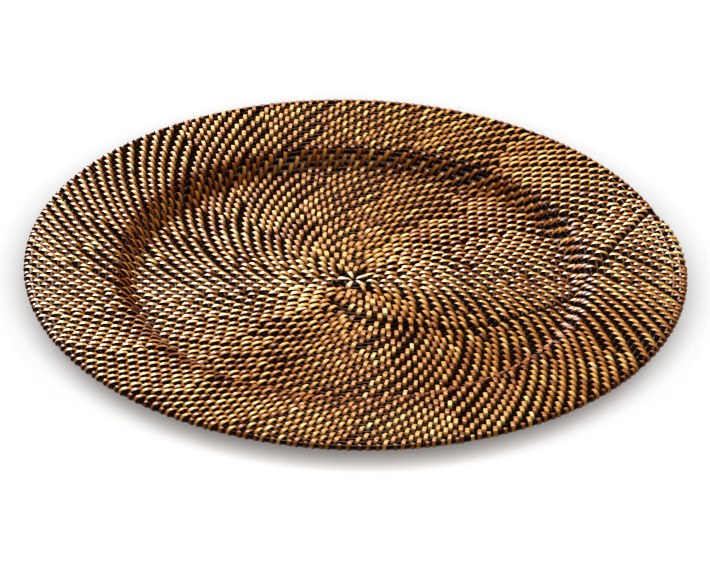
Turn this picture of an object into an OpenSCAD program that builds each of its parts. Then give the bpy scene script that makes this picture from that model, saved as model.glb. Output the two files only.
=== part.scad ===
// Charger plate of coiled cane.
// One core cane winds out from the middle in a spiral, row beside row, and stitches of split cane
// bind each row to the row inside it. The well is flat, a short wall climbs out of it, and a wide
// rim slopes up to the edge, whose cane has short wraps of its own between the stitches.
// Lengths are in millimetres and angles in degrees. The plate stands on z = 0 over the origin.

/* [Cane] */
// Diameter of the round core cane
core_d = 2.55; // [2.2:0.05:3]
// Thickness of the split cane that the stitches are made of
stitch_t = 0.35; // [0.25:0.05:0.5]
// Width of the split cane
stitch_w = 1.9; // [1.5:0.05:2.1]
// Clearance between a stitch and the core that it is drawn over
seat_gap = 0.05; // [0.03:0.01:0.1]

/* [Plate] */
// Diameter over the outermost row
plate_d = 330; // [300:1:360]
// Width of the rim and the wall together, seen from above
rim_w = 57; // [45:1:75]
// Slope of the wall between the well and the rim
wall_slope = 51; // [35:1:60]
// Slope of the rim
rim_slope = 5.8; // [0:0.2:10]
// Half turns of core from the foot of the wall to where it starts to level out
wall_halves = 6; // [5:1:10]
// Half turns of core that each bend is spread over
bend_halves = 4; // [3:1:5]

/* [Stitches] */
// Lean of a stitch from the straight line outward
stitch_lean = 22; // [0:1:26]
// Radius at which the stitches reach their full lean, growing from none at the middle
full_lean_r = 30; // [15:5:60]
// Gap between two stitches of a row above which the next row puts two stitches in it
widest_gap = 10.8; // [9.5:0.1:13]
// Space between a stitch and the stitch of the row inside it that it lies beside
side_gap = 0.2; // [0.15:0.01:0.3]
// Radius from which the stitches lie side by side, having been half way between those inside them
beside_r = 45; // [30:5:60]
// Radius of the inner side of a stitch where it bows over two rows
bow_r = 8; // [7:0.5:12]
// Radius of the inner side of a stitch where it bows less, under the two rows of the well
base_bow_r = 14; // [12:1:20]
// Space between the tips of two stitches that meet in one groove
tip_gap = 0.3; // [0.1:0.05:0.6]

/* [Middle and edge] */
// Radius at which the strips of the middle star are centred
star_mid_r = 5.3; // [5.2:0.1:5.6]
// Length of a strip of the middle star
star_l = 5.9; // [5:0.1:6]
// Radius of the underside of a strip of the middle star
star_bow_r = 14; // [10:1:20]
// Length of the tapered end of the core at the edge
taper_l = 15; // [10:1:20]
// Diameter of the tip of the tapered end
taper_tip_d = 1.1; // [0.8:0.1:1.6]

/* [Hidden] */

// Facets of a round in the preview
core_fn = 24;
turn_fn = 180;
arc_fn = 120;

// A groove between two rows holds two stitches side by side
row_pitch = core_d + 2 * stitch_t + 3 * seat_gap;
half_step = row_pitch / 2;
core_r = core_d / 2;
start_r = row_pitch / 4;
edge_reach = core_r + seat_gap + stitch_t;

// Height of the inner side of a stitch over the middle of its rows, and of the rows over the table
row_off = half_step / cos(stitch_lean) + stitch_w / 2 * tan(stitch_lean);
function bow_height(r) = r - sqrt(pow(r - core_r - seat_gap, 2) - pow(row_off, 2));
floor_z = bow_height(base_bow_r) + stitch_t;

// Slope of the step into half turn k: none in the well, steep up the wall, slight on the rim
well_d = plate_d - 2 * rim_w;
well_halves = round((well_d / 2 - start_r) / half_step);
function ramp(k, from) = max(0, min(1, (k - from) / bend_halves));
function slope(k) = wall_slope * ramp(k, well_halves)
  + (rim_slope - wall_slope) * ramp(k, well_halves + wall_halves);

// Radius and height of the core where each half turn starts and ends
profile = [
  for (k = 0, r = start_r, z = floor_z;
      r < plate_d / 2 - edge_reach + start_r;
      k = k + 1, r = r + half_step * cos(slope(k)), z = z + half_step * sin(slope(k)))
    [r, z]
];
halves = len(profile) - 1;
turns = halves / 2;

// A half turn is a ring cut in two, centred a quarter of a row to one side and tipped to climb
function side(k) = k % 2 == 0 ? 1 : -1;
function ring_half(k) = (profile[k][0] + profile[k + 1][0]) / 2;
function ring_rise(k) = (profile[k + 1][1] - profile[k][1]) / 2;
function ring_r(k) = norm([ring_half(k), ring_rise(k)]);
function ring_tip(k) = atan2(ring_rise(k), ring_half(k));
function ring_x(k) = side(k) * (profile[k][0] - profile[k + 1][0]) / 2;
function ring_z(k) = (profile[k][1] + profile[k + 1][1]) / 2;

// How far the round is turned in each half, so that its edges run on from one half to the next
round_turns = [
  for (k = 0, a = 0; k < halves; k = k + 1, a = a + ring_tip(k - 1) + ring_tip(min(k, halves - 1))) a
];

// Middle of the core after t turns
function half_at(t) = min(halves - 1, floor(2 * t));
function core_point(t) = let (k = half_at(t), a = 180 * (2 * t - k), r = ring_r(k)) [
  ring_x(k) + side(k) * r * cos(a) * cos(ring_tip(k)),
  side(k) * r * sin(a),
  ring_z(k) - r * cos(a) * sin(ring_tip(k))
];

// The spiral ends a little further out on one side, so its middle is set off to suit
axis_x = -side(halves) * (profile[halves][0] - profile[halves - 1][0]) / 2;
axis_y = side(halves) * (ring_r(halves - 1) - ring_r(halves - 2)) / 2;

// Least gap of the core to itself, on points round every turn
turn_step = 0.04;
near_step = 0.02;
near_share = 0.1;
function gap_near(t) = min([
  for (u = [t - 1 - near_share:near_step:t - 1 + near_share])
    if (u >= 0) norm(core_point(t) - core_point(u)) - core_d
]);
least_gap = min([for (t = [1 + near_share:turn_step:turns]) gap_near(t)]);
echo(least_gap_of_core_to_itself = least_gap);

// Angle that a length along a row takes at the row's radius
function row_angle(l, r) = l * 180 / (PI * r);
function flat_r(t) = norm([core_point(t)[0], core_point(t)[1]]);
function lean_at(r) = stitch_lean * min(1, r / full_lean_r);

// Each stitch goes down beside a stitch of the row inside it, on the clockwise side, as the maker
// lays them. A wide gap takes a second one, and a gap with no room for a stitch takes none. The limit
// for a wide gap wavers, so that the extra stitches scatter.
star_shares = [0.09, 0.3, 0.485, 0.69, 0.87];
waver_share = 0.12;
waver_step = 137.5;
waver_row = 7;
pair_share = 0.5;
ease_share = 0.15;
side_space = (stitch_w + side_gap) / cos(stitch_lean);

// The stitches of the gap from a to b, each with the two angles that it has to stay between
function split_gap(a, b, r, i) =
  let (gap = b - a, wide = widest_gap * (1 + waver_share * sin(waver_step * i)))
  let (room = row_angle(side_space, r - row_pitch - half_step))
  let (at = b - room - (gap / 2 - room) * max(0, 1 - r / beside_r), pair = a + (at - a) * pair_share)
    gap < 2 * room ? []
    : gap > row_angle(wide, r) && pair - a > room ? [for (place = [pair, at]) [place, a + room, b - room]]
    : [[at, a + room, b - room]];
function eased(row) = let (n = len(row)) [
  for (i = [0:n - 1])
    let (before = i > 0 ? row[i - 1][0] : row[n - 1][0] - 360)
    let (after = i < n - 1 ? row[i + 1][0] : row[0][0] + 360)
    let (middle = row[i][0] + ease_share * ((before + after) / 2 - row[i][0]))
      max(row[i][1], min(row[i][2], middle))
];
function next_row(row, n) = let (count = len(row)) eased([
  for (i = [0:count - 1])
    let (a = row[i], b = i < count - 1 ? row[i + 1] : row[0] + 360, r = flat_r(min(turns, n - 1 + a / 360)))
      each split_gap(a, b, r, i + waver_row * n)
]);
// A stitch crosses its own row a little clockwise of where it crosses the row inside it
function leaned(row, n) = let (r = flat_r(n - 0.5), back = row_angle(row_pitch * tan(lean_at(r)), r))
  [for (a = row) a - back];
last_row = ceil(turns) + 1;
rows = [
  for (n = 2, row = 360 * star_shares; n <= last_row; n = n + 1, row = leaned(next_row(row, n), n))
    row
];

// Turn at which each stitch of row n has its middle, as far as the spiral goes
function row_turns(n) = let (r = flat_r(min(turns, n - 0.5)), lean = row_angle(half_step * tan(lean_at(r)), r))
  [for (a = rows[n - 2]) let (t = n - 1 + (a + lean) / 360) if (t < turns) t];

// Turns at which the groups of stitches end, so that the groups hold about as many stitches each
well_turns = well_halves / 2;
wall_turns = (well_halves + wall_halves + bend_halves) / 2;
well_share_marks = [0, 0.447, 0.632, 0.775, 0.894, 1];
rim_share_marks = [0, 0.23, 0.46, 0.64, 0.82, 1];
base_share_marks = [0, 0.577, 0.816, 1];
function well_mark(i) = well_turns * well_share_marks[i];
function wall_mark(i) = well_turns + (wall_turns - well_turns) * i / 2;
function rim_mark(i) = wall_turns + (turns - wall_turns) * rim_share_marks[i];
function base_mark(i) = (well_turns - 1) * base_share_marks[i];

// Half turns at which the lengths of core are spliced
core_share_marks = [0, 0.16, 0.45, 0.73, 1];
function well_splice(i) = round(well_halves * core_share_marks[i]);
wall_end = well_halves + wall_halves + bend_halves - 1;
edge_start = halves - 2;
rim_splice = round((wall_end + edge_start) / 2);

// Section of a stitch: two arcs that meet at its tips, the lower one clear of both rows. Its corners
// reach the grooves on either side, and stop short where the rows bend up and the grooves close.
function bend_at(t) = max(0, slope(2 * t + 1) - slope(2 * t - 1), slope(2 * t - 1) - slope(2 * t - 3));
function groove_reach(bend) = half_step
  + (half_step - tip_gap / 2 - (core_r + seat_gap) * sin(bend)) / cos(bend);
function stitch_reach(t) = let (lean = lean_at(flat_r(t)))
  (groove_reach(bend_at(t)) - stitch_w / 2 * sin(lean)) / cos(lean);
star_bow_z = core_r + seat_gap + star_bow_r - sqrt(pow(star_bow_r, 2) - pow(star_l / 2, 2));

module on_axis() {
  translate([axis_x, axis_y, 0]) children();
}

// One half turn of core
module core_half(k) {
  translate([ring_x(k), 0, ring_z(k)])
    rotate([0, side(k) * ring_tip(k), 0])
      rotate([0, 0, k % 2 * 180])
        rotate_extrude(angle = 180, $fn = turn_fn)
          translate([ring_r(k), 0]) rotate(round_turns[k]) circle(r = core_r, $fn = core_fn);
}

// A length of core from one splice to the next
module core_length(from, to) {
  color("#2b160d") on_axis() union() {
    for (k = [from:to - 1]) core_half(k);
  }
}

// A strip that bows over what it crosses: reach is half its length, under_r the radius of its
// underside and under_z the height of its underside at the middle
module bowed_strip(reach, under_r, under_z) {
  tip_z = under_z - under_r + sqrt(pow(under_r, 2) - pow(reach, 2));
  rise = under_z + stitch_t - tip_z;
  crown_r = (pow(reach, 2) + pow(rise, 2)) / (2 * rise);
  rotate([90, 0, 0]) linear_extrude(stitch_w, center = true) difference() {
    translate([0, tip_z + rise - crown_r]) circle(r = crown_r, $fn = arc_fn);
    translate([0, under_z - under_r]) circle(r = under_r, $fn = arc_fn);
  }
}

// A strip that the plate stands on: pressed flat on the table, its ends slanting up into the grooves
module foot_strip(reach) {
  flat = half_step / cos(stitch_lean) + stitch_t;
  rise = floor_z - core_r - seat_gap;
  translate([0, 0, -floor_z]) rotate([90, 0, 0]) linear_extrude(stitch_w, center = true)
    polygon([[-flat, 0], [flat, 0], [reach, rise], [-reach, rise]]);
}

// Places a stitch half way between its row and the row inside it, square to both
module at_turn(t) {
  outer = core_point(t);
  inner = core_point(t - 1);
  across = outer - inner;
  translate((outer + inner) / 2)
    rotate([0, -asin(across[2] / norm(across)), atan2(across[1], across[0])])
      rotate([0, 0, -lean_at(flat_r(t))])
        children();
}

// Turns of all stitches between two turns of the spiral
function stitches_between(from, to) = [
  for (n = [3:last_row]) if (n > from - 1 && n < to + 3)
    for (t = row_turns(n)) if (t >= from && t < to) t
];

module top_stitches(from, to) {
  on_axis() for (t = stitches_between(from, to)) at_turn(t)
    bowed_strip(stitch_reach(t), bow_r, bow_height(bow_r));
}

// The same stitches where they pass under the well
module base_stitches(from, to) {
  on_axis() for (t = stitches_between(from, to)) at_turn(t)
    mirror([0, 0, 1]) bowed_strip(stitch_reach(t), base_bow_r, bow_height(base_bow_r));
}

module centre_core() { core_length(well_splice(0), well_splice(1)); }
module well_core_1() { core_length(well_splice(1), well_splice(2)); }
module well_core_2() { core_length(well_splice(2), well_splice(3)); }
module well_core_3() { core_length(well_splice(3), well_splice(4)); }
module wall_core() { core_length(well_halves, wall_end); }
module rim_core_1() { core_length(wall_end, rim_splice); }
module rim_core_2() { core_length(rim_splice, edge_start); }

// The last turn, with its end tapered and laid against the row inside it
module edge_core() {
  last = core_point(turns);
  tip_r = taper_tip_d / 2;
  beside = core_point(turns - 1 + row_angle(taper_l, profile[halves][0]) / 360);
  out = norm([beside[0], beside[1]]);
  tip_out = out + core_r + seat_gap + stitch_t + tip_r;
  tip = [beside[0] * tip_out / out, beside[1] * tip_out / out, beside[2] + (last[2] - beside[2]) / 2];
  run = tip - last;
  color("#2b160d") on_axis() union() {
    for (k = [edge_start:halves - 1]) core_half(k);
    translate(last) rotate([0, acos(run[2] / norm(run)), atan2(run[1], run[0])]) {
      sphere(r = core_r, $fn = core_fn);
      cylinder(h = norm(run), r1 = core_r, r2 = tip_r, $fn = core_fn);
      translate([0, 0, norm(run)]) sphere(r = tip_r, $fn = core_fn);
    }
  }
}

// Strips that close the middle, each over the first rows
module centre_star() {
  color("#d9a45b") on_axis() for (share = star_shares) rotate([0, 0, 360 * share])
    translate([star_mid_r, 0, floor_z]) bowed_strip(star_l / 2, star_bow_r, star_bow_z);
}

module well_stitches_1() { color("#cf9a4e") top_stitches(well_mark(0), well_mark(1)); }
module well_stitches_2() { color("#c98b3f") top_stitches(well_mark(1), well_mark(2)); }
module well_stitches_3() { color("#bd7a34") top_stitches(well_mark(2), well_mark(3)); }
module well_stitches_4() { color("#c98b3f") top_stitches(well_mark(3), well_mark(4)); }
module well_stitches_5() { color("#b06c2c") top_stitches(well_mark(4), well_mark(5)); }
module wall_stitches_1() { color("#bd7a34") top_stitches(wall_mark(0), wall_mark(1)); }
module wall_stitches_2() { color("#c98b3f") top_stitches(wall_mark(1), wall_mark(2)); }
module rim_stitches_1() { color("#cf9a4e") top_stitches(rim_mark(0), rim_mark(1)); }
module rim_stitches_2() { color("#b06c2c") top_stitches(rim_mark(1), rim_mark(2)); }
module rim_stitches_3() { color("#cf9a4e") top_stitches(rim_mark(2), rim_mark(3)); }
module rim_stitches_4() { color("#bd7a34") top_stitches(rim_mark(3), rim_mark(4)); }
module rim_stitches_5() { color("#b87434") top_stitches(rim_mark(4), rim_mark(5)); }

// Wraps round the edge cane alone, each half way between two stitches of the last turn
module edge_wraps() {
  last = [for (n = [last_row - 2:last_row], t = row_turns(n)) if (t > turns - 1) t];
  least = row_angle(2 * side_space, profile[halves][0]) / 360;
  color("#a9652b") on_axis() for (i = [0:len(last) - 2]) if (last[i + 1] - last[i] > least) {
    middle = core_point((last[i] + last[i + 1]) / 2);
    translate(middle) rotate([90, 0, atan2(middle[1], middle[0])])
      rotate_extrude($fn = core_fn)
        translate([core_r + seat_gap, -stitch_w / 2]) square([stitch_t, stitch_w]);
  }
}

module base_stitches_1() { color("#b87434") base_stitches(base_mark(0), base_mark(1)); }
module base_stitches_2() { color("#b87434") base_stitches(base_mark(1), base_mark(2)); }
module base_stitches_3() { color("#b87434") base_stitches(base_mark(2), base_mark(3)); }

// Under the outermost flat row, where the plate stands
module foot_stitches() {
  color("#a9652b") on_axis() for (t = stitches_between(well_turns - 1, well_turns)) at_turn(t)
    foot_strip(stitch_reach(t));
}

centre_core();
well_core_1();
well_core_2();
well_core_3();
wall_core();
rim_core_1();
rim_core_2();
edge_core();
centre_star();
well_stitches_1();
well_stitches_2();
well_stitches_3();
well_stitches_4();
well_stitches_5();
wall_stitches_1();
wall_stitches_2();
rim_stitches_1();
rim_stitches_2();
rim_stitches_3();
rim_stitches_4();
rim_stitches_5();
edge_wraps();
base_stitches_1();
base_stitches_2();
base_stitches_3();
foot_stitches();
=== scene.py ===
import math

import bpy
import numpy as np
from mathutils import Matrix, Vector


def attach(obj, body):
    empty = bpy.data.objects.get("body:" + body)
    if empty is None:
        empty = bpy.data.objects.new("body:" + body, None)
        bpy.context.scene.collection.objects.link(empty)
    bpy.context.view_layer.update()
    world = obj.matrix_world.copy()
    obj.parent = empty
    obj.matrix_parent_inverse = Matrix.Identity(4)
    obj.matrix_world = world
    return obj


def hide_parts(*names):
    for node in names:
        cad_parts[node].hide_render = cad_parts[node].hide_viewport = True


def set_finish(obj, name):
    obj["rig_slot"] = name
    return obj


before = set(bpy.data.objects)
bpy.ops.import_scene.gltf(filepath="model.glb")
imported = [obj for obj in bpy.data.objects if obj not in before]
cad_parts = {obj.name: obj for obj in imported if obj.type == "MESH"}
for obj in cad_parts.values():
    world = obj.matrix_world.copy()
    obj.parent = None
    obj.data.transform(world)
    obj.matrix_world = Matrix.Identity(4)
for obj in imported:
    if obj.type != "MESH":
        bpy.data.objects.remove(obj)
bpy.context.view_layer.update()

mm = 0.001
print("frame loaded:", len(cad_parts), "nodes")

# The cane and the plate, at the sizes of the frame's own solids. Slopes are in degrees, the wall
# and its bends are so many half turns long, and mostHalves is more than any plate here needs
cane = {
    "coreWidth": 2.55 * mm,
    "stitchThickness": 0.35 * mm,
    "stitchWidth": 1.9 * mm,
    "seatGap": 0.05 * mm,
    "baseBowRadius": 14 * mm,
}
plate = {
    "diameter": 330 * mm,
    "wellDiameter": 216 * mm,
    "wallSlope": 51,
    "rimSlope": 5.8,
    "wallHalves": 6,
    "bendHalves": 4,
    "mostHalves": 200,
}

# Where the stitches go, row by row out from the star's. The lean and the waver are in degrees
stitchRule = {
    "lean": 22,
    "fullLeanRadius": 30 * mm,
    "widestGap": 10.8 * mm,
    "sideGap": 0.2 * mm,
    "besideRadius": 45 * mm,
    "starRow": 2,
    "starShares": [0.09, 0.3, 0.485, 0.69, 0.87],
    "waverShare": 0.12,
    "waverStep": 137.5,
    "waverRow": 7,
    "pairShare": 0.5,
    "easeShare": 0.15,
}

# A row takes the core, two thicknesses of strip and three seat gaps
coreRadius = cane["coreWidth"] / 2
rowPitch = cane["coreWidth"] + 2 * cane["stitchThickness"] + 3 * cane["seatGap"]
halfStep = rowPitch / 2
startRadius = rowPitch / 4
edgeReach = coreRadius + cane["seatGap"] + cane["stitchThickness"]
wellHalves = round((plate["wellDiameter"] / 2 - startRadius) / halfStep)
fullLean = math.radians(stitchRule["lean"])
leastSpace = (cane["stitchWidth"] + stitchRule["sideGap"]) / math.cos(fullLean)

# The solids under the well bow down in arcs that clear the rows at both their ends, and the middle
# of the core is as far above the table as these arcs and their thickness need
rowOff = halfStep / math.cos(fullLean) + cane["stitchWidth"] / 2 * math.tan(fullLean)
bowReach = cane["baseBowRadius"] - coreRadius - cane["seatGap"]
baseBow = cane["baseBowRadius"] - math.sqrt(bowReach ** 2 - rowOff ** 2)
floorHeight = baseBow + cane["stitchThickness"]


# Slope of half turn k: none in the well, steep up the wall, slight on the rim, eased over each bend
def slopeOf(k):
    bend = plate["bendHalves"]
    up = np.clip((k - wellHalves) / bend, 0, 1)
    over = np.clip((k - wellHalves - plate["wallHalves"]) / bend, 0, 1)
    return plate["wallSlope"] * up + (plate["rimSlope"] - plate["wallSlope"]) * over


# Radius and height of the core at the end of every half turn: the steps along the slope, added up
def spiralProfile():
    steps = np.radians(slopeOf(np.arange(1, plate["mostHalves"])))
    radius = startRadius + np.concatenate([[0], np.cumsum(halfStep * np.cos(steps))])
    height = floorHeight + np.concatenate([[0], np.cumsum(halfStep * np.sin(steps))])
    count = int(np.sum(radius < plate["diameter"] / 2 - edgeReach + startRadius))
    return radius[:count], height[:count]


# The core is made of half rings, and the axis is the shift that puts the last ones round the origin
profileRadius, profileHeight = spiralProfile()
halves = len(profileRadius) - 1
turns = halves / 2
lastSide = 1 if halves % 2 == 0 else -1
ringOfHalf = np.hypot(np.diff(profileHeight) / 2, (profileRadius[1:] + profileRadius[:-1]) / 2)
axisX = -lastSide * (profileRadius[-1] - profileRadius[-2]) / 2
axisY = lastSide * (ringOfHalf[-1] - ringOfHalf[-2]) / 2


# Middle of the core after t turns: a point on half ring k, which is centred a quarter of a row to
# one side and tipped by its rise over its width
def corePoint(t):
    t = np.asarray(t, float)
    k = np.minimum(halves - 1, np.floor(2 * t)).astype(int)
    angle = math.pi * (2 * t - k)
    side = np.where(k % 2 == 0, 1, -1)
    rise = (profileHeight[k + 1] - profileHeight[k]) / 2
    tip = np.arctan2(rise, (profileRadius[k] + profileRadius[k + 1]) / 2)
    centre = side * (profileRadius[k] - profileRadius[k + 1]) / 2
    level = (profileHeight[k] + profileHeight[k + 1]) / 2
    x = centre + side * ringOfHalf[k] * np.cos(angle) * np.cos(tip)
    y = side * ringOfHalf[k] * np.sin(angle)
    z = level - ringOfHalf[k] * np.cos(angle) * np.sin(tip)
    return np.stack([x, y, z], axis=-1)


# How far out the core is after t turns, seen from above
def flatRadius(t):
    point = corePoint(t)
    return np.hypot(point[..., 0], point[..., 1])


# Lean of a stitch in degrees: it grows evenly from none in the middle to all of it further out
def leanAt(radius):
    return stitchRule["lean"] * np.minimum(1, radius / stitchRule["fullLeanRadius"])


# Angle in degrees that a length takes up along a row: the length over the radius
def rowAngle(length, radius):
    return np.degrees(length / radius)


# The stitches that go into the gap from angle a to b of the row inside, each with the least and the
# most it may be moved to: one beside the stitch at b, two in a wide gap and none in a tight one
def splitGap(a, b, radius, i):
    gap = b - a
    waver = 1 + stitchRule["waverShare"] * math.sin(math.radians(stitchRule["waverStep"] * i))
    room = rowAngle(leastSpace, radius - rowPitch - halfStep)
    at = b - room - (gap / 2 - room) * max(0, 1 - radius / stitchRule["besideRadius"])
    pair = a + (at - a) * stitchRule["pairShare"]
    if gap < 2 * room:
        return []
    if gap > rowAngle(stitchRule["widestGap"] * waver, radius) and pair - a > room:
        return [(pair, a + room, b - room), (at, a + room, b - room)]
    return [(at, a + room, b - room)]


# Each angle moved a share of the way to half way between its neighbours, as far as it may go
def easedRow(row):
    angles = np.array([entry[0] for entry in row])
    before = np.roll(angles, 1)
    before[0] -= 360
    after = np.roll(angles, -1)
    after[-1] += 360
    eased = angles + stitchRule["easeShare"] * ((before + after) / 2 - angles)
    low = np.array([entry[1] for entry in row])
    high = np.array([entry[2] for entry in row])
    return np.maximum(low, np.minimum(high, eased))


lastRow = math.ceil(turns) + 1


# The angles of the stitches of every row, each row worked out from the row inside it and turned
# back by what the lean takes over one row
def stitchRows():
    rows = {stitchRule["starRow"]: np.array(stitchRule["starShares"]) * 360}
    for n in range(stitchRule["starRow"] + 1, lastRow + 1):
        inner = rows[n - 1]
        ends = np.append(inner[1:], inner[0] + 360)
        radii = flatRadius(np.minimum(turns, n - 1 + inner / 360))
        row = []
        for i, (a, b, radius) in enumerate(zip(inner, ends, radii)):
            row += splitGap(a, b, radius, i + stitchRule["waverRow"] * n)
        radius = flatRadius(min(turns, n - 0.5))
        back = rowAngle(rowPitch * math.tan(math.radians(leanAt(radius))), radius)
        rows[n] = easedRow(row) - back
    return rows


rows = stitchRows()


# Turn at which each stitch of row n has its middle, as far as the spiral goes: the rows before it,
# and its angle with the lean over half a row, as a share of a turn
def rowTurns(n):
    radius = flatRadius(min(turns, n - 0.5))
    lean = rowAngle(halfStep * math.tan(math.radians(leanAt(radius))), radius)
    t = n - 1 + (rows[n] + lean) / 360
    return t[t < turns]


# Round the star the stitches stand closer than the rule has them, so many in each row
nearStar = {"plainRow": 6, "counts": {5: 15, 4: 12, 3: 9}}


# From the first plain row inwards, each row's stitches go half way between those of the row outside
# it, and the narrowest gaps get none
def nearStarTurns():
    found = {nearStar["plainRow"]: rowTurns(nearStar["plainRow"])}
    for n in range(nearStar["plainRow"] - 1, stitchRule["starRow"], -1):
        outside = found[n + 1] - 1
        ends = np.append(outside[1:], outside[0] + 1)
        widest = np.argsort(outside - ends)[:nearStar["counts"][n]]
        found[n] = np.sort((outside + ends)[widest] / 2)
    return found


turnsOfRow = {n: rowTurns(n) for n in range(stitchRule["starRow"] + 1, lastRow + 1)}
turnsOfRow.update(nearStarTurns())
stitchTurn = np.concatenate(list(turnsOfRow.values()))
print("stitches placed:", len(stitchTurn), "in", len(turnsOfRow), "rows,", turns, "turns of core")


# Middle between points of an outer row and those beside them on the inner one, the way across, the
# way along the row, the way up, and half of how far the two are apart
def placesBetween(outer, inner):
    across = outer - inner
    width = np.linalg.norm(across, axis=1)
    u = across / width[:, None]
    azimuth = np.arctan2(across[:, 1], across[:, 0])
    v = np.stack([-np.sin(azimuth), np.cos(azimuth), np.zeros(len(outer))], axis=1)
    w = np.cross(u, v)
    return (outer + inner) / 2, u, v, w, width / 2


# The same for the stitches at t turns: the inner row is one turn back
def placesAcross(t):
    return placesBetween(corePoint(t), corePoint(t - 1))


# A mesh from whole arrays, shifted to the axis: quads, and at the open ends of a tube a flat cap of
# many corners
def makeMesh(name, points, quads, uv, tint, shine, caps=()):
    corners = np.concatenate([quads.ravel()] + [np.asarray(cap) for cap in caps])
    sizes = np.array([4] * len(quads) + [len(cap) for cap in caps])
    starts = np.cumsum(sizes) - sizes
    smooth = sizes == 4
    mesh = bpy.data.meshes.new(name)
    mesh.vertices.add(len(points))
    mesh.vertices.foreach_set("co", (points + [axisX, axisY, 0]).astype(np.float32).ravel())
    mesh.loops.add(len(corners))
    mesh.loops.foreach_set("vertex_index", corners.astype(np.int32))
    mesh.polygons.add(len(starts))
    mesh.polygons.foreach_set("loop_start", starts.astype(np.int32))
    mesh.polygons.foreach_set("use_smooth", smooth)
    layer = mesh.uv_layers.new(name="along")
    capUv = np.zeros((len(corners) - len(uv), 2))
    layer.data.foreach_set("uv", np.concatenate([uv, capUv]).astype(np.float32).ravel())
    # The colour is the stain's tone with the painted shade already in it; the alpha is the share of
    # gloss
    colour = mesh.color_attributes.new(name="stainAndShade", type="FLOAT_COLOR", domain="POINT")
    rgba = np.concatenate([tint, shine[:, None]], axis=1)
    colour.data.foreach_set("color", rgba.astype(np.float32).ravel())
    mesh.update(calc_edges=True)
    piece = bpy.data.objects.new(name, mesh)
    bpy.context.scene.collection.objects.link(piece)
    return piece


# Quads of many closed bands at once: band b, step i along it and step j round its section, both
# wrapping round. The steps of each corner come with them, not wrapped, for the UV map
def bandQuads(bands, along, around):
    b, i, j = np.meshgrid(np.arange(bands), np.arange(along), np.arange(around), indexing="ij")
    nextI = (i + 1) % along
    nextJ = (j + 1) % around
    start = b * along * around
    quads = np.stack([start + i * around + j, start + nextI * around + j,
                      start + nextI * around + nextJ, start + i * around + nextJ], axis=-1)
    uStep = np.stack([i, i + 1, i + 1, i], axis=-1)
    vStep = np.stack([j, j, j + 1, j + 1], axis=-1)
    return quads.reshape(-1, 4), uStep, vStep


# Keeps the corners of the section crisp: an edge is sharp where both its ends are at the same step
# round the section, and that step is a corner
def crispEdges(mesh, around, corners):
    ends = np.empty(2 * len(mesh.edges), np.int32)
    mesh.edges.foreach_get("vertices", ends)
    first, second = (ends.reshape(-1, 2) % around).T
    sharp = mesh.attributes.new("sharp_edge", "BOOLEAN", "EDGE")
    sharp.data.foreach_set("value", (first == second) & np.isin(first, corners))


# Colours of the stained cane, from the darkest strips to the palest, and how the tone changes: with
# the radius, from one run of stitches to the next and from strip to strip. The low ring tone on the
# wall, 118 mm out, is painted shade of the wall
staining = {
    "tones": [0, 0.25, 0.5, 0.75, 1, 1.2],
    "red": [0.11, 0.30, 0.54, 0.76, 0.88, 0.80],
    "green": [0.023, 0.072, 0.183, 0.37, 0.60, 0.52],
    "blue": [0.005, 0.011, 0.029, 0.08, 0.23, 0.28],
    "ringRadii": [0 * mm, 14 * mm, 40 * mm, 70 * mm, 100 * mm,
                  118 * mm, 140 * mm, 152 * mm, 165 * mm],
    # Painted shade: the tone at 118 mm, on the wall, is low for the wall's shade
    "ringTones": [0.86, 0.7, 0.6, 0.54, 0.49, 0.31, 0.68, 0.57, 0.5],
    "runLength": 45,
    "runSpread": 0.11,
    "stripSpread": 0.14,
    "seed": 41,
}


# Red, green and blue of a tone, each straight between the values listed
def stainOf(tone):
    tone = np.clip(tone, 0, staining["tones"][-1])
    bands = [np.interp(tone, staining["tones"], staining[c]) for c in ("red", "green", "blue")]
    return np.stack(bands, axis=-1)


# One strip of split cane after another comes from the bundle, so the tone changes in runs: the
# ring's tone, a draw for the run and a draw for the strip, added up
def stripTones(turn, rng):
    order = np.arange(len(turn)) / staining["runLength"]
    runs = rng.normal(0, staining["runSpread"], int(order[-1]) + 2)
    tone = np.interp(flatRadius(turn), staining["ringRadii"], staining["ringTones"])
    return tone + runs[order.astype(int)] + rng.normal(0, staining["stripSpread"], len(turn))


rng = np.random.default_rng(staining["seed"])

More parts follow.
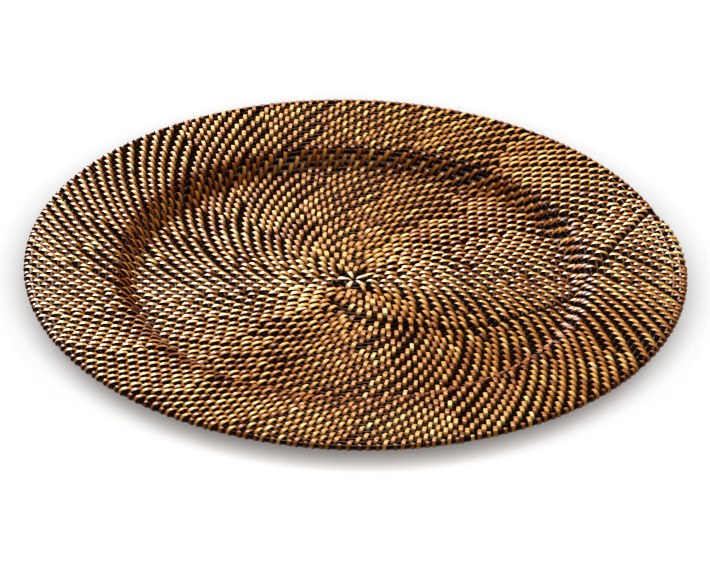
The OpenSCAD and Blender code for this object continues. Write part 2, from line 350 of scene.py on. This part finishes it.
# One stitch, seen as a rounded grain on top: a closed band round two rows. Its path starts on top,
# goes over the outer row (side 1) and comes back under the inner one (side -1)
stitch = {
    "angles": [90, 90, 45, 0, -45, -90, -90, -90, -135, 180, 135, 90],
    "sides": [0, 1, 1, 1, 1, 1, 0, -1, -1, -1, -1, -1],
    "crownShares": [1, 0.6, 0, 0, 0, 0, 0, 0, 0, 0, 0, 0.6],
    "sagShares": [0, 0, 0, 0, 0, 0.4, 1, 0.4, 0, 0, 0, 0],
    "widthShares": [1.02, 1, 0.98, 0.92, 0.9, 0.9, 0.9, 0.9, 0.9, 0.92, 0.98, 1],
    # Painted shade along the strip: darker where it turns down round each row, darkest deep in the
    # groove, a little darker underneath
    "shadeShares": [1, 1, 1, 0.5, 0.15, 0.75, 0.8, 0.75, 0.15, 0.5, 1, 1],
    "edgeShadeShares": [1, 1, 0.95, 0.85, 0.6, 0.75, 0.8, 0.75, 0.2, 0.12, 0.9, 1],
    "crown": 0.42 * mm,
    "sag": 0.19 * mm,
    "wideTurns": [2, 6, 10, 16],
    "wides": [1.9 * mm, 2.4 * mm, 2.4 * mm, 2.0 * mm],
    "sectionAcross": [-1, -0.9, 0, 0.9, 1],
    "sectionOut": [-0.5, 0.36, 0.5, 0.36, -0.5],
    # Painted shade across the strip: its sides darker than its top
    "sectionShades": [0.2, 0.7, 1, 0.7, 0.2],
    "corners": [0, 1, 3, 4],
    "yawSpread": 1.6,
    "widthSpread": 0.05,
    "slideSpread": 0.1 * mm,
    "mostSlide": 0.15 * mm,
    "crownSpread": 0.05 * mm,
    "grainShift": [0.4, 0.1],
}

# Worn dull along the front of the wall: between two radii, and more the nearer to the front
dullWear = {"inner": 108 * mm, "outer": 121 * mm, "frontness": [0.3, 0.7], "share": 0.04}


# Share of the gloss at a place: less by its frontness, -y over the radius, on the wall, else all
def shineOf(place):
    radius = np.hypot(place[:, 0], place[:, 1])
    onWall = (radius > dullWear["inner"]) & (radius < dullWear["outer"])
    front = np.interp(-place[:, 1] / radius, dullWear["frontness"], [1, dullWear["share"]])
    return np.where(onWall, front, 1)


# Bands round the rows. The path goes round each row at the band's own radius, straight across
# between them, raised by the crown on top and lowered by the sag underneath. The section, across
# and out, is carried along it. The whole is turned by the lean in the plane of the rows, and made
# longer by it, so that it still reaches them. A form without sides goes round one cane alone
def wrapBands(name, place, u, v, w, half, lean, width, tone, form, rng, radius=coreRadius):
    count = len(place)
    along = len(form["angles"])
    angle = np.radians(form["angles"])
    sides = np.array(form.get("sides", [0] * along))
    crowns = np.array(form.get("crownShares", [0] * along))
    sags = np.array(form.get("sagShares", [0] * along))
    widths = np.array(form.get("widthShares", [1] * along))
    crown = stitch["crown"] + rng.normal(0, stitch["crownSpread"], count)
    slide = rng.normal(0, stitch["slideSpread"], count)
    slide = np.clip(slide, -stitch["mostSlide"], stitch["mostSlide"])
    yaw = np.radians(rng.normal(0, stitch["yawSpread"], count)) - np.radians(lean)
    halfWidth = width / 2 * (1 + rng.normal(0, stitch["widthSpread"], count))
    seat = np.reshape(radius + cane["seatGap"] + cane["stitchThickness"] / 2, (-1, 1))
    p = (half[:, None] * sides + seat * np.cos(angle)) / np.cos(yaw)[:, None]
    q = seat * np.sin(angle) + crown[:, None] * crowns - stitch["sag"] * sags
    uTurned = u * np.cos(yaw)[:, None] + v * np.sin(yaw)[:, None]
    vTurned = v * np.cos(yaw)[:, None] - u * np.sin(yaw)[:, None]
    path = (place[:, None, :] + p[..., None] * uTurned[:, None, :] + q[..., None] * w[:, None, :]
            + slide[:, None, None] * vTurned[:, None, :])
    out = np.cos(angle)[:, None] * uTurned[:, None, :] + np.sin(angle)[:, None] * w[:, None, :]
    across = np.array(stitch["sectionAcross"])
    rise = np.array(stitch["sectionOut"]) * cane["stitchThickness"]
    sideways = halfWidth[:, None, None] * widths[:, None] * across
    points = (path[:, :, None, :] + sideways[..., None] * vTurned[:, None, None, :]
              + rise[:, None] * out[:, :, None, :])
    # Painted shade: the tone is darkened along the path and across the section, for the shade the
    # strip lies in
    shade = np.array(form["shadeShares"])[..., None] * np.array(stitch["sectionShades"])
    tint = stainOf(tone)[:, None, None, :] * shade[..., None]
    shine = np.repeat(shineOf(place), along * len(across))
    quads, uStep, vStep = bandQuads(count, along, len(across))
    length = np.concatenate([[0], np.cumsum(np.hypot(np.diff(p[0]), np.diff(q[0])))])
    length = np.append(length, length[-1] + np.hypot(p[0, 0] - p[0, -1], q[0, 0] - q[0, -1]))
    shift = rng.uniform(0, 1, (count, 1, 1, 1, 2)) * stitch["grainShift"]
    uv = np.stack([length[uStep], vStep * cane["stitchWidth"] / len(across)], axis=-1) + shift
    piece = makeMesh(name, points.reshape(-1, 3), quads, uv.reshape(-1, 2),
                     tint.reshape(-1, 3), shine)
    crispEdges(piece.data, len(across), stitch["corners"])
    return piece


# Half turns between which each length of core runs
coreLengths = {
    "centre_core": (0, 10),
    "well_core_1": (10, 28),
    "well_core_2": (28, 46),
    "well_core_3": (46, 63),
    "wall_core": (63, 72),
    "rim_core_1": (72, 84),
    "rim_core_2": (84, 96),
    "edge_core": (96, 98),
}
core = {
    "sides": 12,
    "ringsPerHalf": 60,
    "taperLength": 46 * mm,
    "taperRings": 24,
    "tipRadius": 0.5 * mm,
    "tangentTurns": 0.001,
    "taperStitches": 7,
    # The core's own dark brown, made darker still as painted shade for the shadow the strips cast
    # on it
    "stainAndShade": [0.014, 0.005, 0.002],
}


# A cane: at each point of the path a ring of its own radius, square to the way ahead
def sweepCane(name, path, radius, tint):
    count = len(path)
    sides = core["sides"]
    ahead = np.gradient(path, axis=0)
    ahead /= np.linalg.norm(ahead, axis=1)[:, None]
    level = np.cross(ahead, [0, 0, 1])
    level /= np.linalg.norm(level, axis=1)[:, None]
    up = np.cross(level, ahead)
    angle = np.linspace(0, 2 * math.pi, sides, endpoint=False)
    ring = np.cos(angle)[:, None] * level[:, None, :] + np.sin(angle)[:, None] * up[:, None, :]
    points = path[:, None, :] + radius[:, None, None] * ring
    i, j = np.meshgrid(np.arange(count - 1), np.arange(sides), indexing="ij")
    nextJ = (j + 1) % sides
    quads = np.stack([i * sides + j, (i + 1) * sides + j,
                      (i + 1) * sides + nextJ, i * sides + nextJ], axis=-1).reshape(-1, 4)
    length = np.concatenate([[0], np.cumsum(np.linalg.norm(np.diff(path, axis=0), axis=1))])
    sideWidth = cane["coreWidth"] * math.pi / sides
    uLength = np.stack([length[i], length[i + 1], length[i + 1], length[i]], axis=-1)
    vLength = np.stack([j, j, j + 1, j + 1], axis=-1) * sideWidth
    uv = np.stack([uLength, vLength], axis=-1).reshape(-1, 2)
    caps = [np.arange(sides), (count - 1) * sides + np.arange(sides)[::-1]]
    colours = np.repeat(tint, sides, axis=0)
    return makeMesh(name, points.reshape(-1, 3), quads, uv, colours, np.ones(len(colours)), caps)


taperTurns = rowAngle(core["taperLength"], profileRadius[-1]) / 360


# The tapered end: a curve of three points, the core's end, one straight ahead of it and the tip,
# which lies against the row inside. The radius shrinks evenly along it
def taperPath():
    last = corePoint(turns)
    beside = corePoint(turns - 1 + taperTurns)
    out = math.hypot(beside[0], beside[1])
    tipOut = out + edgeReach + core["tipRadius"]
    tip = np.array([beside[0] * tipOut / out, beside[1] * tipOut / out, (beside[2] + last[2]) / 2])
    before = corePoint(turns - core["tangentTurns"])
    tangent = (last - before) / np.linalg.norm(last - before)
    bend = last + tangent * core["taperLength"] / 2
    s = np.linspace(0, 1, core["taperRings"])[1:, None]
    path = (1 - s) ** 2 * last + 2 * s * (1 - s) * bend + s ** 2 * tip
    return path, coreRadius + (core["tipRadius"] - coreRadius) * s[:, 0]


taper, taperRadius = taperPath()
pieces = []
for name, (first, last) in coreLengths.items():
    t = np.linspace(first / 2, last / 2, (last - first) * core["ringsPerHalf"] + 1)
    path = corePoint(t)
    radius = np.full(len(path), coreRadius)
    if last == halves:
        path = np.concatenate([path, taper])
        radius = np.concatenate([radius, taperRadius])
    tint = np.repeat([core["stainAndShade"]], len(path), axis=0)
    piece = sweepCane(name, path, radius, tint)
    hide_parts(name)
    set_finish(piece, "core_cane")
    pieces.append(piece)
print("core made in", len(pieces), "lengths")

# Each region's turns of the spiral, the shares of them where its groups of stitches end, and the
# slots of the groups
wellTurns = wellHalves / 2
wallTurns = (wellHalves + plate["wallHalves"] + plate["bendHalves"]) / 2
stitchGroups = {
    "well_stitches": (0, wellTurns, [0, 0.447, 0.632, 0.775, 0.894, 1],
                      ["honey_cane", "honey_cane", "tan_cane", "honey_cane", "red_cane"]),
    "wall_stitches": (wellTurns, wallTurns, [0, 0.5, 1], ["tan_cane", "honey_cane"]),
    "rim_stitches": (wallTurns, turns, [0, 0.23, 0.46, 0.64, 0.82, 1],
                     ["honey_cane", "red_cane", "honey_cane", "tan_cane", "tan_cane"]),
}

# Turns of the solids under the well, which the bands of the well also stand for
underTurns = [share * (wellTurns - 1) for share in (0, 0.577, 0.816, 1)]
underSolids = {
    "base_stitches_1": underTurns[0:2],
    "base_stitches_2": underTurns[1:3],
    "base_stitches_3": underTurns[2:4],
    "foot_stitches": [wellTurns - 1, wellTurns],
}


# Width of the strips at t turns: narrow round the star, widest a little further out
def stitchWidths(t):
    return np.interp(t, stitch["wideTurns"], stitch["wides"])


allTones = stripTones(stitchTurn, rng)
for region, (start, end, shares, slotNames) in stitchGroups.items():
    for i, slotName in enumerate(slotNames):
        first, last = (start + (end - start) * share for share in shares[i:i + 2])
        chosen = (stitchTurn >= first) & (stitchTurn < last)
        under = [solid for solid, (low, high) in underSolids.items() if low < last and high > first]
        t = stitchTurn[chosen]
        name = region + "_" + str(i + 1)
        # Painted shade: the last row has its own shading, lighter where it turns over the edge and
        # darkest in the groove inside
        shades = np.where(t[:, None] > turns - 1, stitch["edgeShadeShares"], stitch["shadeShares"])
        piece = wrapBands(name, *placesAcross(t), leanAt(flatRadius(t)), stitchWidths(t),
                          allTones[chosen], dict(stitch, shadeShares=shades), rng)
        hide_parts(name, *under)
        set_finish(piece, slotName)
        pieces.append(piece)
print("stitches made:", len(stitchTurn))

# The stitches that bind the tapered end to the row inside it, evenly spaced along it
bound = np.linspace(0, len(taper) - 1, core["taperStitches"] + 2)[1:-1].astype(int)
boundTurns = turns - 1 + taperTurns * (bound + 1) / len(taper)
endForm = dict(stitch, shadeShares=stitch["edgeShadeShares"])
piece = wrapBands("end_stitches", *placesBetween(taper[bound], corePoint(boundTurns)),
                  np.full(len(bound), stitchRule["lean"]), stitchWidths(boundTurns),
                  stripTones(boundTurns, rng), endForm, rng, (coreRadius + taperRadius[bound]) / 2)
pieces.append(piece)

# The strips of the middle star: short, narrow towards the middle and the palest of all
star = {
    "angles": stitch["angles"],
    "sides": stitch["sides"],
    "crownShares": [0.3, 0.2, 0, 0, 0, 0, 0, 0, 0, 0, 0.1, 0.2],
    "sagShares": stitch["sagShares"],
    "widthShares": [0.95, 1, 1, 0.95, 1, 1, 0.85, 0.6, 0.5, 0.42, 0.46, 0.6],
    "shadeShares": stitch["shadeShares"],
    "middleRadius": 4.7 * mm,
    "halfLength": 3.8 * mm,
    "wide": 2.5 * mm,
    "tone": 1.2,
}
starAngle = np.radians(np.array(stitchRule["starShares"]) * 360)
starCount = len(starAngle)
zeros = np.zeros(starCount)
starOut = np.stack([np.cos(starAngle), np.sin(starAngle), zeros], axis=1)
starAlong = np.stack([-np.sin(starAngle), np.cos(starAngle), zeros], axis=1)
starUp = np.repeat([[0.0, 0.0, 1.0]], starCount, axis=0)
starHalf = np.full(starCount, star["halfLength"] - edgeReach)
starPlace = starOut * star["middleRadius"] + [0, 0, floorHeight]
piece = wrapBands("centre_star", starPlace, starOut, starAlong, starUp, starHalf, zeros,
                  np.full(starCount, star["wide"]), np.full(starCount, star["tone"]), star, rng)
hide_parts("centre_star")
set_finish(piece, "pale_cane")
pieces.append(piece)

# Short wraps round the edge cane alone, half way between the stitches of the last rows
wrap = {
    "rows": 3,
    "angles": [90, 45, 0, -45, -90, -135, 180, 135],
    # Painted shade: the wraps darker underneath and on the side towards the plate, and their tone
    # made darker for the shade of the edge
    "shadeShares": [1, 0.9, 0.6, 0.5, 0.6, 0.4, 0.3, 0.8],
    "lean": 14,
    "paintedShade": 0.18,
}
edgeRows = range(lastRow - wrap["rows"] + 1, lastRow + 1)
edgeTurns = np.concatenate([turnsOfRow[n] for n in edgeRows])
roomy = np.diff(edgeTurns) > rowAngle(2 * leastSpace, profileRadius[-1]) / 360
wrapTurns = ((edgeTurns[:-1] + edgeTurns[1:]) / 2)[roomy]
wrapCount = len(wrapTurns)
ways = placesAcross(wrapTurns)[1:4]
# The wraps' tone is lowered as painted shade of the edge
wrapTones = stripTones(wrapTurns, rng) - wrap["paintedShade"]
piece = wrapBands("edge_wraps", corePoint(wrapTurns), *ways, np.zeros(wrapCount),
                  np.full(wrapCount, wrap["lean"]), np.full(wrapCount, cane["stitchWidth"]),
                  wrapTones, wrap, rng)
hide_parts("edge_wraps")
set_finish(piece, "red_cane")
pieces.append(piece)
print("star and edge wraps made:", starCount, "and", wrapCount)


# Adds a node with its values set, and links what feeds it
def addNode(tree, kind, links=None, **values):
    node = tree.nodes.new(kind)
    for key, value in values.items():
        setattr(node, key, value)
    for key, value in (links or {}).items():
        socket = node.inputs[key]
        if isinstance(value, bpy.types.NodeSocket):
            tree.links.new(value, socket)
        else:
            socket.default_value = value
    return node


# A value carried evenly from one range to another: at the first range's ends it is the second's
def mapRange(tree, value, target, source=(0.0, 1.0)):
    node = addNode(tree, "ShaderNodeMapRange",
                   {"Value": value, "From Min": source[0], "From Max": source[1],
                    "To Min": target[0], "To Max": target[1]})
    return node.outputs["Result"]


# Stained and varnished cane: its colour, the stain with painted shade, comes from the mesh, times
# streaks that run along it and softer clouds. The mesh's alpha, its share of the gloss, takes the
# roughness from worn to smooth
def caneMaterial(name, look):
    material = bpy.data.materials.new(name)
    material.use_nodes = True
    tree = material.node_tree
    shader = tree.nodes["Principled BSDF"]
    stainAndShade = addNode(tree, "ShaderNodeAttribute", attribute_name="stainAndShade")
    along = addNode(tree, "ShaderNodeUVMap", uv_map="along").outputs["UV"]
    stretched = addNode(tree, "ShaderNodeMapping", {"Vector": along, "Scale": look["streakScale"]})
    streak = addNode(tree, "ShaderNodeTexNoise",
                     {"Vector": stretched.outputs["Vector"], "Scale": 1.0,
                      "Detail": look["streakDetail"], "Roughness": look["streakRoughness"]})
    cloud = addNode(tree, "ShaderNodeTexNoise",
                    {"Vector": along, "Scale": look["cloudScale"], "Detail": look["cloudDetail"]})
    streaks = mapRange(tree, streak.outputs["Fac"], look["streakShades"], look["noiseEnds"])
    clouds = mapRange(tree, cloud.outputs["Fac"], look["cloudShades"], look["noiseEnds"])
    shades = addNode(tree, "ShaderNodeMath", {0: streaks, 1: clouds}, operation="MULTIPLY")
    colour = addNode(tree, "ShaderNodeVectorMath",
                     {0: stainAndShade.outputs["Color"], "Scale": shades.outputs["Value"]},
                     operation="SCALE")
    varnished = mapRange(tree, cloud.outputs["Fac"], look["varnished"], look["noiseEnds"])
    rough = mapRange(tree, stainAndShade.outputs["Alpha"], (look["worn"], varnished))
    bump = addNode(tree, "ShaderNodeBump",
                   {"Height": streak.outputs["Fac"], "Strength": look["bump"],
                    "Distance": look["grainDepth"]})
    tree.links.new(colour.outputs["Vector"], shader.inputs["Base Color"])
    tree.links.new(rough, shader.inputs["Roughness"])
    tree.links.new(bump.outputs["Normal"], shader.inputs["Normal"])
    shader.inputs["Specular IOR Level"].default_value = look["gloss"]
    shader.inputs["Specular Tint"].default_value = look["glossTint"]
    return material


# Varnished and worn are roughnesses, and the varnished one varies between the two given
splitLook = {
    "streakScale": (220, 4200, 1),
    "streakDetail": 4.0,
    "streakRoughness": 0.6,
    "streakShades": (0.78, 1.16),
    "cloudScale": 260,
    "cloudDetail": 3.0,
    "cloudShades": (0.85, 1.12),
    "noiseEnds": (0.3, 0.7),
    "varnished": (0.15, 0.29),
    "worn": 0.95,
    "gloss": 0.23,
    "glossTint": (1.0, 0.82, 0.6, 1),
    "bump": 0.35,
    "grainDepth": 0.05 * mm,
}
coreLook = dict(splitLook, streakScale=(120, 2600, 1), streakShades=(0.6, 1.5), bump=0.15,
                varnished=(0.1, 0.17), gloss=0.12, glossTint=(0.6, 0.25, 0.12, 1))
slotMaterials = {
    "core_cane": caneMaterial("coreCane", coreLook),
    "pale_cane": caneMaterial("paleCane", splitLook),
    "honey_cane": caneMaterial("honeyCane", splitLook),
    "tan_cane": caneMaterial("tanCane", splitLook),
    "red_cane": caneMaterial("redCane", splitLook),
}
for piece in pieces:
    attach(piece, "root")
    piece.data.materials.append(slotMaterials[piece.get("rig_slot", "tan_cane")])
print("materials set on", len(pieces), "pieces")

# A plain white table that runs on past the picture. What the camera sees of its own white grows
# outwards from the shadow at the plate's edge, and there is none under the plate, where the table
# would show in the gaps between the rows
white = (1, 1, 1, 1)
table = {
    "size": 8.0,
    "colour": (0.86, 0.86, 0.86, 1),
    "roughness": 0.9,
    "fadeRadii": (0.175, 0.27),
    "fadeLifts": (0.14, 0.8),
    "darkRadii": (0.138, 0.16),
}
bpy.ops.mesh.primitive_plane_add(size=table["size"], location=(0, 0, 0))
floor = bpy.context.object
floor.name = "floor"
floorMaterial = bpy.data.materials.new("tableTop")
floorMaterial.use_nodes = True
floorTree = floorMaterial.node_tree
floorShader = floorTree.nodes["Principled BSDF"]
floorShader.inputs["Base Color"].default_value = table["colour"]
floorShader.inputs["Roughness"].default_value = table["roughness"]
floorShader.inputs["Emission Color"].default_value = white
floorRays = addNode(floorTree, "ShaderNodeLightPath")
floorSpot = addNode(floorTree, "ShaderNodeTexCoord")
away = addNode(floorTree, "ShaderNodeVectorMath", {0: floorSpot.outputs["Object"]},
               operation="LENGTH")
fade = mapRange(floorTree, away.outputs["Value"], table["fadeLifts"], table["fadeRadii"])
seen = mapRange(floorTree, away.outputs["Value"], (0.0, floorRays.outputs["Is Camera Ray"]),
                table["darkRadii"])
lift = addNode(floorTree, "ShaderNodeMath", {0: seen, 1: fade}, operation="MULTIPLY")
floorTree.links.new(lift.outputs["Value"], floorShader.inputs["Emission Strength"])
floor.data.materials.append(floorMaterial)

# White round the table where the camera sees it, a lesser white for the light that falls on the
# plate, and less again for what its gloss mirrors
sky = {"light": 0.11, "mirrored": 0.03, "seen": 1.0}
world = bpy.data.worlds.new("studio")
bpy.context.scene.world = world
world.use_nodes = True
worldTree = world.node_tree
back = worldTree.nodes["Background"]
back.inputs["Color"].default_value = white
rays = addNode(worldTree, "ShaderNodeLightPath")
mirrored = mapRange(worldTree, rays.outputs["Is Glossy Ray"], (sky["light"], sky["mirrored"]))
strength = mapRange(worldTree, rays.outputs["Is Camera Ray"], (mirrored, sky["seen"]))
worldTree.links.new(strength, back.inputs["Strength"])

# A low wide key lamp from behind for the strips, a smaller one high up for the whole plate, and the
# widest for the table alone, from the front, so that the plate's shadow stays short and soft. Turns
# are counted in degrees from the right, +X
strips = [piece for piece in pieces if piece.get("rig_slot") != "core_cane"]
lamps = {
    "keyLamp": {"turn": 112, "height": 26, "distance": 2.0,
                "size": 1.15, "power": 92, "lights": strips},
    "topLamp": {"turn": 94, "height": 63, "distance": 1.8,
                "size": 0.42, "power": 28, "lights": pieces},
    "tableLamp": {"turn": -90, "height": 48, "distance": 2.2,
                  "size": 2.6, "power": 80, "lights": [floor]},
}
for name, lamp in lamps.items():
    light = bpy.data.lights.new(name, "AREA")
    light.size = lamp["size"]
    light.energy = lamp["power"]
    turn, height = math.radians(lamp["turn"]), math.radians(lamp["height"])
    toward = Vector((math.cos(turn) * math.cos(height), math.sin(turn) * math.cos(height),
                     math.sin(height)))
    holder = bpy.data.objects.new(name, light)
    holder.location = toward * lamp["distance"]
    holder.rotation_euler = (-toward).to_track_quat("-Z", "Y").to_euler()
    bpy.context.scene.collection.objects.link(holder)
    lit = bpy.data.collections.new(name + "Lit")
    for target in lamp["lights"]:
        lit.objects.link(target)
    holder.light_linking.receiver_collection = lit

# The camera of the photo: its height above the table and its roll, in degrees, and how far off
# centre it looks, in pixels of the photo's width
shot = {
    "aimHeight": 3.3 * mm,
    "elevation": 32.10,
    "roll": 1.40,
    "distance": 1.7,
    "lens": 172.36,
    "sensorWidth": 36,
    "photoWidth": 710,
    "shiftX": -0.4,
    "shiftY": -3.7,
}
bpy.context.scene.view_settings.view_transform = "Standard"
cameraData = bpy.data.cameras.new("camera")
cameraData.lens = shot["lens"]
cameraData.sensor_width = shot["sensorWidth"]
cameraData.shift_x = shot["shiftX"] / shot["photoWidth"]
cameraData.shift_y = shot["shiftY"] / shot["photoWidth"]
camera = bpy.data.objects.new("camera", cameraData)
bpy.context.scene.collection.objects.link(camera)
bpy.context.scene.camera = camera
tilt = math.radians(shot["elevation"])
backward = Vector((0, -math.cos(tilt), math.sin(tilt)))
rolled = Matrix.Rotation(math.radians(shot["roll"]), 4, "Z")
turned = Matrix.Rotation(math.pi / 2 - tilt, 4, "X") @ rolled
stand = backward * shot["distance"] + Vector((0, 0, shot["aimHeight"]))
camera.matrix_world = Matrix.Translation(stand) @ turned
print("table, light and camera set")
